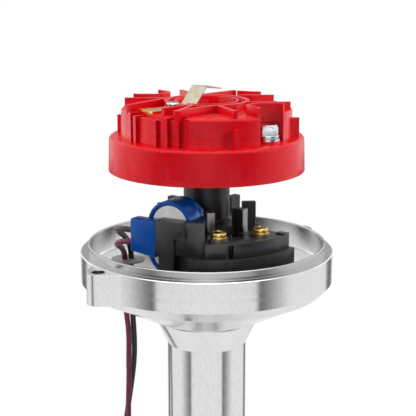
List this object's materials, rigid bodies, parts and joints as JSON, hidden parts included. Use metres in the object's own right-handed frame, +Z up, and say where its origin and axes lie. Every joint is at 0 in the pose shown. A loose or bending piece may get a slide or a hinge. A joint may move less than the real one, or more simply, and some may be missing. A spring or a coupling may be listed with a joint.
{
  "type": "ignition distributor",
  "caption": "Billet ignition distributor without its cap: round bowl, red rotor over a magnetic pickup, centrifugal advance, drive shaft and helical gear.",
  "frame": {"origin": "on the shaft axis, at the engine seat under the hold-down flange", "axes": "+Z up along the shaft towards the rotor, -Y towards the side shown in the picture"},
  "size_m": [0.0934, 0.0934, 0.331],
  "materials": {
    "billet_aluminium": "turned billet aluminium, bright",
    "black_insulation": "black cross-linked insulation",
    "black_moulding": "black glass-filled nylon",
    "black_reluctor": "black oxide sintered steel with ground post faces",
    "black_steel": "black oxide steel",
    "blue_moulding": "blue nylon moulding",
    "blue_wrap": "blue polyester tape over the winding",
    "cast_iron_gear": "machined cast iron, oiled",
    "clear_zinc": "clear zinc on steel",
    "connector_plastic": "black nylon",
    "contact_steel": "stainless strip",
    "grommet_rubber": "grey rubber",
    "ground_steel": "ground steel",
    "magnet_black": "ferrite",
    "red_bushing": "red nylon",
    "red_moulding": "red glass-filled polyester moulding",
    "rotor_brass": "stamped brass",
    "seal_rubber": "black nitrile",
    "sintered_bronze": "oil-filled sintered bronze",
    "spring_steel": "drawn spring steel",
    "tinned_pin": "tinned brass",
    "violet_insulation": "violet cross-linked insulation",
    "white_bobbin": "natural nylon bobbin",
    "yellow_zinc": "yellow chromate over zinc on steel",
    "zinc_steel": "zinc-plated pressed steel"
  },
  "bodies": {
    "housing": {"black_lead": "black_insulation", "coil_bobbin": "white_bobbin", "coil_bracket": "black_moulding", "coil_hood": "blue_wrap", "coil_wrap": "blue_wrap", "connector_pin_1": "tinned_pin", "connector_pin_2": "tinned_pin", "connector_shell": "connector_plastic", "grommet": "grommet_rubber", "housing": "billet_aluminium", "lead_block": "blue_moulding", "lower_bushing": "sintered_bronze", "magnet": "magnet_black", "pickup_base": "black_moulding", "pickup_clamp": "black_moulding", "pickup_lock_washer_1": "yellow_zinc", "pickup_lock_washer_2": "yellow_zinc", "pickup_screw_1": "yellow_zinc", "pickup_screw_2": "yellow_zinc", "pickup_washer_1": "yellow_zinc", "pickup_washer_2": "yellow_zinc", "pole_piece": "ground_steel", "seal_ring": "seal_rubber", "thrust_washer": "sintered_bronze", "upper_bushing": "sintered_bronze", "violet_lead": "violet_insulation"},
    "shaft": {"main_shaft": "ground_steel", "drive_gear": "cast_iron_gear", "gear_pin": "ground_steel", "gear_shims": "ground_steel", "cam_clip": "spring_steel", "advance_cam": "black_steel"},
    "advance": {"advance_plate": "zinc_steel", "advance_spring_1": "spring_steel", "advance_spring_2": "spring_steel", "contact_spring": "contact_steel", "reluctor": "black_reluctor", "rotor": "red_moulding", "rotor_bolt_1": "clear_zinc", "rotor_bolt_2": "clear_zinc", "rotor_lock_washer_1": "clear_zinc", "rotor_lock_washer_2": "clear_zinc", "rotor_tip": "rotor_brass", "rotor_washer_1": "clear_zinc", "rotor_washer_2": "clear_zinc", "sleeve": "black_steel", "stop_bushing": "red_bushing", "stop_stud": "ground_steel", "tip_screw": "clear_zinc", "weight_pin_1": "ground_steel", "weight_pin_2": "ground_steel"},
    "weight_1": {"weight_1": "zinc_steel"},
    "weight_2": {"weight_2": "zinc_steel"}
  },
  "joints": [
    {"name": "shaft_spin", "type": "hinge", "parent": "housing", "child": "shaft", "pos_m": [0, 0, 0], "axis": [0, 0, 1], "continuous": true},
    {"name": "advance_turn", "type": "hinge", "parent": "shaft", "child": "advance", "pos_m": [0, 0, 0], "axis": [0, 0, -1], "range_deg": [0, 12], "stiffness_Nm_per_rad": 0.35, "springref_deg": -2.86, "deforming": ["advance_spring_1", "advance_spring_2"]},
    {"name": "weight_1_swing", "type": "hinge", "parent": "advance", "child": "weight_1", "pos_m": [-0.0044, 0.01642, 0.1269], "axis": [0, 0, 1], "range_deg": [0, 18]},
    {"name": "weight_2_swing", "type": "hinge", "parent": "advance", "child": "weight_2", "pos_m": [0.0044, -0.01642, 0.1269], "axis": [0, 0, 1], "range_deg": [0, 18]}
  ],
  "couplings": [
    {"joint": "weight_1_swing", "follows": "advance_turn", "ratio": 1.5},
    {"joint": "weight_2_swing", "follows": "advance_turn", "ratio": 1.5}
  ]
}
